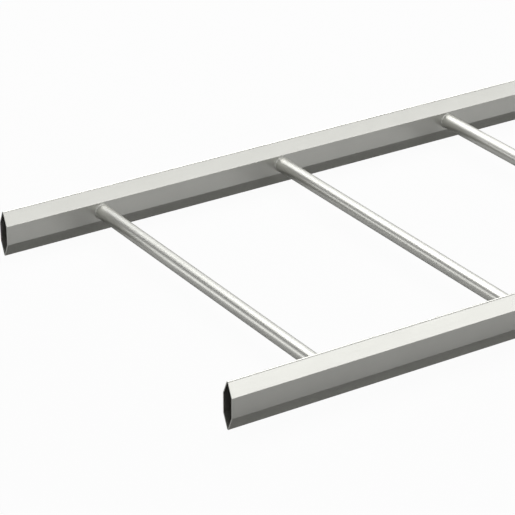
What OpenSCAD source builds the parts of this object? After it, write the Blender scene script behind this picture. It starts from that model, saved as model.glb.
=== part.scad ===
// Cable ladder section: two side rails of closed six-sided tube, joined by round rungs.
// X runs along the rails, Y across the ladder and Z up. The origin lies midway between
// the two rails and midway along them, on the floor that the rails rest on.

/* [Ladder] */
// Length of the section, along the rails
section_length = 3000; // [500:250:6000]
// Width over the outer faces of the two rails
overall_width = 500; // [150:50:1000]

/* [Side rails] */
// Height of a rail, over its top and bottom bends
rail_height = 55.5; // [45:0.5:90]
// Width of a rail, across its two upright faces
rail_width = 17; // [14:0.5:24]
// Height of the flat part of each upright face, from bend to bend
face_height = 22.4; // [14:0.2:32]
// Outside radius of the six bends
bend_radius = 1.75; // [1.6:0.05:3]
// Thickness of the rail's sheet
rail_wall = 1.2; // [0.8:0.1:1.5]

/* [Rungs] */
// Distance from the middle of one rung to the middle of the next
rung_pitch = 250; // [150:25:400]
// Distance from each end of the rails to the middle of the nearest rung, at least
end_margin = 125; // [25:5:250]
// Outside diameter of a rung
rung_diameter = 18; // [12:0.5:22]
// Thickness of a rung's tube wall
rung_wall = 1.5; // [1:0.1:3]

/* [Hidden] */
steel = [0.74, 0.75, 0.73];
round_sides = 64;
bend_step = 8;

rung_count = floor((section_length - 2 * end_margin) / rung_pitch) + 1;
rung_length = overall_width - 2 * rail_width;
rail_offset = (overall_width - rail_width) / 2;
mid_height = rail_height / 2;

// Middles of the top bend and of the upper bend at one side, seen along the rail. Both
// bends have one radius, so the sloping face between them is parallel to the line from
// one middle to the other. slope_angle is its lean away from upright.
top_bend = [0, mid_height - bend_radius];
side_bend = [rail_width / 2 - bend_radius, face_height / 2];
slope_angle = atan(side_bend.x / (top_bend.y - side_bend.y));

function rung_name(n) = str(n < 10 ? "rung_0" : "rung_", n);

function arc(centre, radius, from, to) =
    let (steps = ceil((to - from) / bend_step))
    [for (i = [0 : steps])
        let (angle = from + (to - from) * i / steps)
        centre + radius * [cos(angle), sin(angle)]];

// The rail's outline, shrunk by inset on every side. The lower half is the upper half
// turned half round.
module rail_outline(inset) {
    radius = bend_radius - inset;
    upper_half = concat(
        arc(side_bend, radius, 0, slope_angle),
        arc(top_bend, radius, slope_angle, 180 - slope_angle),
        arc([-side_bend.x, side_bend.y], radius, 180 - slope_angle, 180)
    );
    polygon(concat(upper_half, -upper_half));
}

// One side rail, a tube with open ends. side is -1 at the front and 1 at the rear.
module rail(side) {
    color(steel)
        translate([-section_length / 2, side * rail_offset, mid_height])
            rotate([90, 0, 90])
                linear_extrude(section_length)
                    difference() {
                        rail_outline(0);
                        rail_outline(rail_wall);
                    }
}

// Rung number n, a round tube that fills the space between the rails' inner faces.
module rung(n) {
    color(steel)
        translate([(n - (rung_count + 1) / 2) * rung_pitch, rung_length / 2, mid_height])
            rotate([90, 0, 0])
                linear_extrude(rung_length)
                    difference() {
                        circle(d = rung_diameter, $fn = round_sides);
                        circle(d = rung_diameter - 2 * rung_wall, $fn = round_sides);
                    }
}

rail(-1);  // rail_front
rail(1);  // rail_rear
for (n = [1 : rung_count])
    rung(n);
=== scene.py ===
# %% [markdown]
# # A cable ladder section in galvanised steel
# A cable ladder carries cables along a wall or under a ceiling. Two side rails run its whole
# length, and round rungs join them like the rungs of a ladder laid flat. Its solids come from
# a CAD model, so nothing here moves or resizes them. This lesson gives them their finish, adds
# the welds that hold each rung, and then sets up a camera, a floor and soft studio light.

# %% Load the CAD model as a fixed frame
import math

import bpy
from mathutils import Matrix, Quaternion, Vector


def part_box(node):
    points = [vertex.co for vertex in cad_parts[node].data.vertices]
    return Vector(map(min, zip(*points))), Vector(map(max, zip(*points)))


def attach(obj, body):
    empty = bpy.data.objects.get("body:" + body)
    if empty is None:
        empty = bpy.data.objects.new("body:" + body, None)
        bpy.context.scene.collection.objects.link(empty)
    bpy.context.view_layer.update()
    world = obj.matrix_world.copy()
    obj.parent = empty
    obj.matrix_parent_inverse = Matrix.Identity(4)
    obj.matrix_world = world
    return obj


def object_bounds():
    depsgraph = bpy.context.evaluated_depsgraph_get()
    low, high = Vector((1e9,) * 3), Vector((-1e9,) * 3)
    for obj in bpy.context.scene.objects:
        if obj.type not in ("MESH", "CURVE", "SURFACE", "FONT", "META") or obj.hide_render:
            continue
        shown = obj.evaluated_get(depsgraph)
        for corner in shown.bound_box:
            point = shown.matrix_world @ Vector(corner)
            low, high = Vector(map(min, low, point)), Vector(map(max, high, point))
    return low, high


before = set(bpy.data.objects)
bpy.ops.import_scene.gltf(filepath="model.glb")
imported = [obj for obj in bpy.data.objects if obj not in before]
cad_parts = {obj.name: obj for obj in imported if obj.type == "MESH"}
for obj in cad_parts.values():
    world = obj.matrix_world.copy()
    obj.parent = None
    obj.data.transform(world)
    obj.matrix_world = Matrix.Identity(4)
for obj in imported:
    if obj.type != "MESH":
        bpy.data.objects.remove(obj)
cad_low, cad_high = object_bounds()
print("CAD box in metres:", [round(v, 4) for v in (*cad_low, *cad_high)])

# %% [markdown]
# ## Sizes to work from
# The welds and the camera could be placed with typed numbers, but those would be wrong as soon
# as the ladder is made longer or wider. Each node of the CAD model knows its own box, so every
# place below is worked out from those boxes. Blender works in metres, and MM turns a size in
# millimetres into that.

# %% Measure the pieces
MM = 0.001
rails = [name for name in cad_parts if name.startswith("rail")]
rungs = sorted(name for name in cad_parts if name.startswith("rung"))
rung_low, rung_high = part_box(rungs[0])
rung_radius = (rung_high.z - rung_low.z) / 2
mid_height = (rung_high.z + rung_low.z) / 2
inner_face = rung_high.y
rung_middles = sorted((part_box(name)[0].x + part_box(name)[1].x) / 2 for name in rungs)
rung_pitch = (rung_middles[-1] - rung_middles[0]) / (len(rungs) - 1)
print(len(rungs), "rungs of", round(2 * rung_radius / MM, 2), "mm, every",
      round(rung_pitch / MM, 1), "mm, between faces", round(2 * inner_face / MM, 1), "mm apart")

# %% [markdown]
# ## Two helpers for every node tree
# Materials, geometry and the world are all trees of nodes. One function adds a node with its
# settings, its values and the links that feed it, so that a tree reads from top to bottom like
# a recipe. A second one turns a colour from the hex code that people pick it by into the linear
# numbers that light is added up in.

# %% A colour helper and a node helper
def linear(hex_colour):
    """An sRGB hex colour as the linear numbers that a shader works in."""
    parts = [int(hex_colour[i:i + 2], 16) / 255 for i in (1, 3, 5)]
    return [p / 12.92 if p <= 0.04045 else ((p + 0.055) / 1.055) ** 2.4 for p in parts] + [1.0]


def add_node(tree, kind, links=None, values=None, **settings):
    """Adds one node. links feeds sockets from other sockets, values sets sockets."""
    node = tree.nodes.new(kind)
    for key, value in settings.items():
        setattr(node, key, value)
    for socket, value in (values or {}).items():
        node.inputs[socket].default_value = value
    for socket, source in (links or {}).items():
        tree.links.new(source, node.inputs[socket])
    return node

# %% [markdown]
# ## Galvanised steel
# Rails and rungs are rolled from steel strip that has a thin coat of zinc. The zinc gives a
# light, slightly warm grey with a satin gloss: reflections are there, but their edges are soft.
# Two patterns keep it from looking like plastic. The mill leaves fine lines along the piece,
# and the zinc sets a little lighter and darker in patches as wide as a thumb. An image could
# hold both, but it would need a UV map on every piece. Noise on Object coordinates has its size
# in millimetres, and a Mapping node stretches it into lines along the piece. Real rolling lines
# are finer than a tenth of a millimetre. They are drawn about a millimetre apart, so that they
# show as a faint change of gloss.

# %% The finish of rails and rungs
LINE_GAP = 1.1 * MM
PATCH_SIZE = 40 * MM
STRETCH = 0.02
PATCH_TONE = 0.04
GLOSS_SPREAD = 0.03
LINE_DEPTH = 0.05 * MM
RELIEF = 0.02


def galvanised_steel(name, colour, along, roughness):
    """Zinc-coated strip: a satin metal, with rolling lines along one axis and soft patches."""
    material = bpy.data.materials.new(name)
    material.use_nodes = True
    tree = material.node_tree
    tree.nodes.clear()
    place = add_node(tree, "ShaderNodeTexCoord")
    drawn = add_node(tree, "ShaderNodeMapping", {"Vector": place.outputs["Object"]},
                     {"Scale": [STRETCH if axis == along else 1.0 for axis in "XYZ"]})
    lines = add_node(tree, "ShaderNodeTexNoise", {"Vector": drawn.outputs["Vector"]},
                     {"Scale": 1 / LINE_GAP, "Detail": 2.0})
    patches = add_node(tree, "ShaderNodeTexNoise", {"Vector": place.outputs["Object"]},
                       {"Scale": 1 / PATCH_SIZE, "Detail": 3.0})
    dark, light = ([(1 + change) * v for v in linear(colour)[:3]] + [1.0]
                   for change in (-PATCH_TONE, PATCH_TONE))
    tone = add_node(tree, "ShaderNodeMix", {"Factor": patches.outputs["Fac"]}, data_type="RGBA")
    tone.inputs["A"].default_value = dark
    tone.inputs["B"].default_value = light
    gloss = add_node(tree, "ShaderNodeMapRange", {"Value": lines.outputs["Fac"]},
                     {"To Min": roughness - GLOSS_SPREAD, "To Max": roughness + GLOSS_SPREAD})
    relief = add_node(tree, "ShaderNodeBump", {"Height": lines.outputs["Fac"]},
                      {"Strength": RELIEF, "Distance": LINE_DEPTH})
    steel = add_node(tree, "ShaderNodeBsdfPrincipled",
                     {"Base Color": tone.outputs["Result"], "Roughness": gloss.outputs["Result"],
                      "Normal": relief.outputs["Normal"]}, {"Metallic": 1.0})
    add_node(tree, "ShaderNodeOutputMaterial", {"Surface": steel.outputs["BSDF"]})
    return material


# To the eye, a light and slightly warm grey whose reflections are there but soft.
ZINC_GREY = "#C8C8C3"
ROUGHNESS = 0.34
rail_steel = galvanised_steel("galvanised_rail_sheet", ZINC_GREY, "X", ROUGHNESS)
rung_steel = galvanised_steel("galvanised_rung_tube", ZINC_GREY, "Y", ROUGHNESS)
for name in rails:
    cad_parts[name].data.materials[0] = rail_steel
for name in rungs:
    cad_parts[name].data.materials[0] = rung_steel
print("steel on", len(rails), "rails and", len(rungs), "rungs")

# %% [markdown]
# ## Welds round the rung ends
# A rung stops at the flat inner face of a rail, and a thin bead of weld runs round the joint.
# It is under a millimetre in radius and slightly rippled where the metal froze step by step.
# The same ring comes 24 times, so Geometry Nodes suit it: one ring is made from a circle with
# a smaller circle run along it, a line of points marks the rungs at one rail, its mirror image
# marks the other, and a ring is set on each point. Three quarters of a ring's section lie in
# the rail and the rung, so what shows is a small rounded fillet. Noise pushes the surface along
# its normals for the ripple, and it repeats exactly, because it is read from the place.

# %% The tree that makes the weld rings
BEAD_RADIUS = 0.9 * MM
RIPPLE_GAP = 1.4 * MM
RIPPLE_HEIGHT = 0.15 * MM
RING_STEPS = 64
BEAD_STEPS = 14


def weld_ring_tree(steel):
    """A ring of weld at both ends of each rung, along the whole ladder."""
    tree = bpy.data.node_groups.new("rung_weld_rings", "GeometryNodeTree")
    for name, kind in (("Rung radius", "Float"), ("Bead radius", "Float"), ("Rung count", "Int"),
                       ("First rung", "Vector"), ("Rung pitch", "Vector"), ("Ripple", "Float")):
        tree.interface.new_socket(name, in_out="INPUT", socket_type="NodeSocket" + kind)
    tree.interface.new_socket("Mesh", in_out="OUTPUT", socket_type="NodeSocketGeometry")
    size = add_node(tree, "NodeGroupInput").outputs
    ring = add_node(tree, "GeometryNodeCurvePrimitiveCircle", {"Radius": size["Rung radius"]},
                    {"Resolution": RING_STEPS})
    section = add_node(tree, "GeometryNodeCurvePrimitiveCircle", {"Radius": size["Bead radius"]},
                       {"Resolution": BEAD_STEPS})
    bead = add_node(tree, "GeometryNodeCurveToMesh", {"Curve": ring.outputs["Curve"],
                                                      "Profile Curve": section.outputs["Curve"]})
    front = add_node(tree, "GeometryNodeMeshLine", {"Count": size["Rung count"],
                                                    "Start Location": size["First rung"],
                                                    "Offset": size["Rung pitch"]})
    rear = add_node(tree, "GeometryNodeTransform", {"Geometry": front.outputs["Mesh"]},
                    {"Scale": (1.0, -1.0, 1.0)})
    ends = add_node(tree, "GeometryNodeJoinGeometry")
    tree.links.new(front.outputs["Mesh"], ends.inputs["Geometry"])
    tree.links.new(rear.outputs["Geometry"], ends.inputs["Geometry"])
    rings = add_node(tree, "GeometryNodeInstanceOnPoints", {"Points": ends.outputs["Geometry"],
                                                            "Instance": bead.outputs["Mesh"]},
                     {"Rotation": (math.pi / 2, 0.0, 0.0)})
    solid = add_node(tree, "GeometryNodeRealizeInstances", {"Geometry": rings.outputs["Instances"]})
    wave = add_node(tree, "ShaderNodeTexNoise", values={"Scale": 1 / RIPPLE_GAP, "Detail": 0.0})
    swell = add_node(tree, "ShaderNodeMapRange", {"Value": wave.outputs["Fac"],
                                                  "To Max": size["Ripple"]})
    normal = add_node(tree, "GeometryNodeInputNormal")
    push = add_node(tree, "ShaderNodeVectorMath", {"Vector": normal.outputs["Normal"],
                                                   "Scale": swell.outputs["Result"]},
                    operation="SCALE")
    rippled = add_node(tree, "GeometryNodeSetPosition", {"Geometry": solid.outputs["Geometry"],
                                                         "Offset": push.outputs["Vector"]})
    coated = add_node(tree, "GeometryNodeSetMaterial", {"Geometry": rippled.outputs["Geometry"]},
                      {"Material": steel})
    add_node(tree, "NodeGroupOutput", {"Mesh": coated.outputs["Geometry"]})
    return tree

# %% [markdown]
# ## From a node tree to a plain mesh
# A modifier works its mesh out afresh each time, and an exported model needs a mesh that stands
# by itself. The tree could be applied with an operator, but that depends on what is selected.
# Asking for the evaluated object and copying its mesh doesn't. The inputs are set by their
# identifiers before the object is first evaluated. The copy has an empty material slot in front
# of the steel, so the slots are made again with the steel alone.

# %% Turn a tree's result into a plain mesh
def bake(name, tree, values):
    """Runs a geometry nodes tree with these values and keeps the result as a plain mesh."""
    maker = bpy.data.objects.new(name + "_maker", bpy.data.meshes.new(name + "_maker"))
    bpy.context.collection.objects.link(maker)
    nodes = maker.modifiers.new("nodes", "NODES")
    nodes.node_group = tree
    for item in tree.interface.items_tree:
        if item.in_out == "INPUT" and item.name in values:
            nodes[item.identifier] = values[item.name]
    evaluated = maker.evaluated_get(bpy.context.evaluated_depsgraph_get())
    mesh = bpy.data.meshes.new_from_object(evaluated)
    bpy.data.objects.remove(maker)
    finish = mesh.materials[len(mesh.materials) - 1]
    mesh.materials.clear()
    mesh.materials.append(finish)
    mesh.polygons.foreach_set("material_index", [0] * len(mesh.polygons))
    mesh.name = name
    piece = bpy.data.objects.new(name, mesh)
    bpy.context.collection.objects.link(piece)
    return piece

# %% [markdown]
# ## The welds take their place
# All the sizes that the tree is given come from the boxes of the CAD nodes. The welds are one
# piece with the ladder, so they ride on its only body, and they have the finish of the rungs,
# because the whole ladder is dipped in zinc after it is welded. Smooth shading rounds them.

# %% Make the welds and hang them on the ladder
welds = bake("rung_welds", weld_ring_tree(rung_steel), {
    "Rung radius": rung_radius,
    "Bead radius": BEAD_RADIUS,
    "Rung count": len(rungs),
    "First rung": (rung_middles[0], -inner_face, mid_height),
    "Rung pitch": (rung_pitch, 0.0, 0.0),
    "Ripple": RIPPLE_HEIGHT,
})
welds.data.polygons.foreach_set("use_smooth", [True] * len(welds.data.polygons))
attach(welds, "root")
print("weld rings:", 2 * len(rungs), "with", len(welds.data.polygons), "faces in all, finish",
      [material and material.name for material in welds.data.materials])

# %% [markdown]
# ## A long lens from far away
# A product picture of something this long is taken from some metres off with a long lens, so
# that the rails stay nearly parallel in the picture. The camera looks at a point near the left
# end of the ladder, and its place follows from how it looks at that point and from how far. A
# quaternion holds the direction, and about a quarter of a degree of roll round it is added.

# %% The camera
# Angles in degrees, distances in metres, lens and sensor in millimetres.
LOOK_AZIMUTH = 57.40
LOOK_ELEVATION = -25.80
ROLL = 0.22
DISTANCE = 2.883
LENS = 179.3
SENSOR = 36.0
TARGET_FROM_END = 210 * MM
TARGET_FROM_MIDDLE = 30 * MM


def direction(azimuth, elevation):
    """The unit vector towards an azimuth from +X and an elevation, both in degrees."""
    a, e = math.radians(azimuth), math.radians(elevation)
    return Vector((math.cos(a) * math.cos(e), math.sin(a) * math.cos(e), math.sin(e)))


camera = bpy.data.objects.new("camera", bpy.data.cameras.new("camera"))
bpy.context.collection.objects.link(camera)
bpy.context.scene.camera = camera
look = direction(LOOK_AZIMUTH, LOOK_ELEVATION)
target = Vector((cad_low.x + TARGET_FROM_END, TARGET_FROM_MIDDLE, mid_height))
camera.location = target - DISTANCE * look
camera.rotation_mode = "QUATERNION"
camera.rotation_quaternion = Quaternion(look, math.radians(ROLL)) @ look.to_track_quat("-Z", "Y")
camera.data.sensor_width = SENSOR
camera.data.lens = LENS
print("camera at", [round(v, 3) for v in camera.location])

# %% [markdown]
# ## A pale floor that metal can mirror
# A studio floor is white paper or satin paint. Lighting it to full white would flood the metal
# with light, so the white comes from the Light Path node: where the camera looks, most of the
# floor is plain emission of strength 1, and the rest is satin paint, which keeps the ladder's
# soft shadow. Glossy and transmission rays get a small share of the same white. The steel then
# mirrors a pale floor and still shows the shadow at its own feet, which tells the eye that the
# lower slopes face down. With a larger share they would look as light as the upright faces.

# %% The floor
FLOOR_REACH = 60.0
CAMERA_SHARE = 0.96
GLOSSY_SHARE = 0.06
FLOOR_COLOUR = "#DCDCDC"
FLOOR_ROUGHNESS = 0.3

floor = bpy.data.objects.new("floor", bpy.data.meshes.new("floor"))
corners = [(x * FLOOR_REACH, y * FLOOR_REACH, 0.0) for x, y in ((-1, -1), (1, -1), (1, 1), (-1, 1))]
floor.data.from_pydata(corners, [], [(0, 1, 2, 3)])
bpy.context.collection.objects.link(floor)
floor_paint = bpy.data.materials.new("white_studio_paint")
floor_paint.use_nodes = True
tree = floor_paint.node_tree
tree.nodes.clear()
ray = add_node(tree, "ShaderNodeLightPath")
mirrored = add_node(tree, "ShaderNodeMath", {0: ray.outputs["Is Glossy Ray"],
                                             1: ray.outputs["Is Transmission Ray"]},
                    operation="MAXIMUM")
in_metal = add_node(tree, "ShaderNodeMath", {0: mirrored.outputs["Value"]}, {1: GLOSSY_SHARE},
                    operation="MULTIPLY")
white_share = add_node(tree, "ShaderNodeMath", {0: ray.outputs["Is Camera Ray"],
                                                2: in_metal.outputs["Value"]},
                       {1: CAMERA_SHARE}, operation="MULTIPLY_ADD")
paint = add_node(tree, "ShaderNodeBsdfPrincipled",
                 values={"Base Color": linear(FLOOR_COLOUR), "Roughness": FLOOR_ROUGHNESS})
white = add_node(tree, "ShaderNodeEmission", values={"Color": (1, 1, 1, 1), "Strength": 1.0})
both = add_node(tree, "ShaderNodeMixShader", {0: white_share.outputs["Value"],
                                              1: paint.outputs["BSDF"],
                                              2: white.outputs["Emission"]})
add_node(tree, "ShaderNodeOutputMaterial", {"Surface": both.outputs["Shader"]})
floor.data.materials.append(floor_paint)
print("floor of", 2 * FLOOR_REACH, "m")

# %% [markdown]
# ## Soft studio light
# Bare metal shows the room more than itself, so the lamps are placed by what each face mirrors.
# The upper slopes mirror a softbox in front. The upper right side of each rung mirrors a low
# softbox behind, whose edge draws the clean border of its bright band, and the lower left side
# mirrors a softbox on the left. A high softbox lights everything. It stands a little behind,
# so that each rail's soft shadow falls at its front foot, where the lower slopes mirror it. The
# others are linked to the ladder alone, so that the floor stays even. A lamp's power is worked
# out from how bright its face looks, because that is what metal mirrors.

# %% A softbox
ladder = bpy.data.collections.new("ladder")
for piece in (*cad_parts.values(), welds):
    ladder.objects.link(piece)


def softbox(name, place, toward, width, height, level, only_ladder=True):
    """A soft rectangular lamp, whose face looks as bright as level, where 1 is white."""
    lamp = bpy.data.lights.new(name, "AREA")
    lamp.shape = "RECTANGLE"
    lamp.size = width
    lamp.size_y = height
    lamp.energy = level * math.pi * width * height
    box = bpy.data.objects.new(name, lamp)
    bpy.context.collection.objects.link(box)
    box.location = place
    box.rotation_mode = "QUATERNION"
    box.rotation_quaternion = (Vector(toward) - Vector(place)).to_track_quat("-Z", "Y")
    box.visible_camera = False
    if only_ladder:
        box.light_linking.receiver_collection = ladder

# %% [markdown]
# ## Where the softboxes stand
# Places and sizes are in metres. Only the rear one has to be placed with care: its left edge is
# a little past the first rung, 200 mm from the end of the ladder, and it hangs 456 mm above the
# floor. A lamp that is small for its distance needs a bright face to give the same light, as
# the high one does.

# %% Four softboxes
FRONT_LEVEL = 1.73
REAR_LEVEL = 0.66
LEFT_LEVEL = 1.32
OVERHEAD_LEVEL = 3.75
REAR_WIDTH = 3.5
REAR_HEIGHT = 456 * MM
rear_middle = cad_low.x + 200 * MM + REAR_WIDTH / 2
softbox("front_softbox", place=(0.4, -3.2, 1.0), toward=(0.4, 0.0, 0.0),
        width=8.0, height=1.1, level=FRONT_LEVEL)
softbox("rear_softbox", place=(rear_middle, 1.25, REAR_HEIGHT), toward=(rear_middle, 1.25, 0.0),
        width=REAR_WIDTH, height=2.0, level=REAR_LEVEL)
softbox("left_softbox", place=(-3.9, 3.0, 0.6), toward=(-1.3, 0.0, 0.1),
        width=3.0, height=1.2, level=LEFT_LEVEL)
softbox("overhead_softbox", place=(-0.3, 1.5, 3.0), toward=(-0.3, 0.0, 0.0),
        width=4.0, height=2.0, level=OVERHEAD_LEVEL, only_ladder=False)
print("softboxes:", [lamp.name for lamp in bpy.data.lights])

# %% [markdown]
# ## The room around the lamps
# Between the lamps the metal mirrors the room. A plain white room would flatten the round rungs,
# and a dark one would turn them black, so the world is middling at the horizon, dimmest half
# way up and lightest overhead. The height above the horizon is the Z of the Generated
# coordinate. The camera sees plain white, and diffuse rays get one even, weak fill.

# %% The room
HORIZON_ROOM = 0.6
UPPER_ROOM = 0.25
TOP_ROOM = 0.9
FILL = 0.03
HALF_WAY_UP = 0.6
HIGH_UP = 0.85
world = bpy.data.worlds.new("studio")
bpy.context.scene.world = world
world.use_nodes = True
tree = world.node_tree
tree.nodes.clear()
ray = add_node(tree, "ShaderNodeLightPath")
place = add_node(tree, "ShaderNodeTexCoord")
axes = add_node(tree, "ShaderNodeSeparateXYZ", {"Vector": place.outputs["Generated"]})
lower = add_node(tree, "ShaderNodeMapRange", {"Value": axes.outputs["Z"]},
                 {"From Min": 0.0, "From Max": HALF_WAY_UP,
                  "To Min": HORIZON_ROOM, "To Max": UPPER_ROOM},
                 interpolation_type="SMOOTHSTEP")
upper = add_node(tree, "ShaderNodeMapRange", {"Value": axes.outputs["Z"]},
                 {"From Min": HALF_WAY_UP, "From Max": HIGH_UP,
                  "To Min": 0.0, "To Max": TOP_ROOM - UPPER_ROOM},
                 interpolation_type="SMOOTHSTEP")
room = add_node(tree, "ShaderNodeMath", {0: lower.outputs["Result"], 1: upper.outputs["Result"]},
                operation="ADD")
filled = add_node(tree, "ShaderNodeMix", {"Factor": ray.outputs["Is Diffuse Ray"],
                                          "A": room.outputs["Value"]}, {"B": FILL})
seen = add_node(tree, "ShaderNodeMix", {"Factor": ray.outputs["Is Camera Ray"],
                                        "A": filled.outputs["Result"]}, {"B": 1.0})
sky = add_node(tree, "ShaderNodeBackground", {"Strength": seen.outputs["Result"]},
               {"Color": (1, 1, 1, 1)})
add_node(tree, "ShaderNodeOutputWorld", {"Surface": sky.outputs["Background"]})
bpy.context.scene.view_settings.view_transform = "Standard"
print("room: horizon", HORIZON_ROOM, "half way up", UPPER_ROOM, "top", TOP_ROOM)
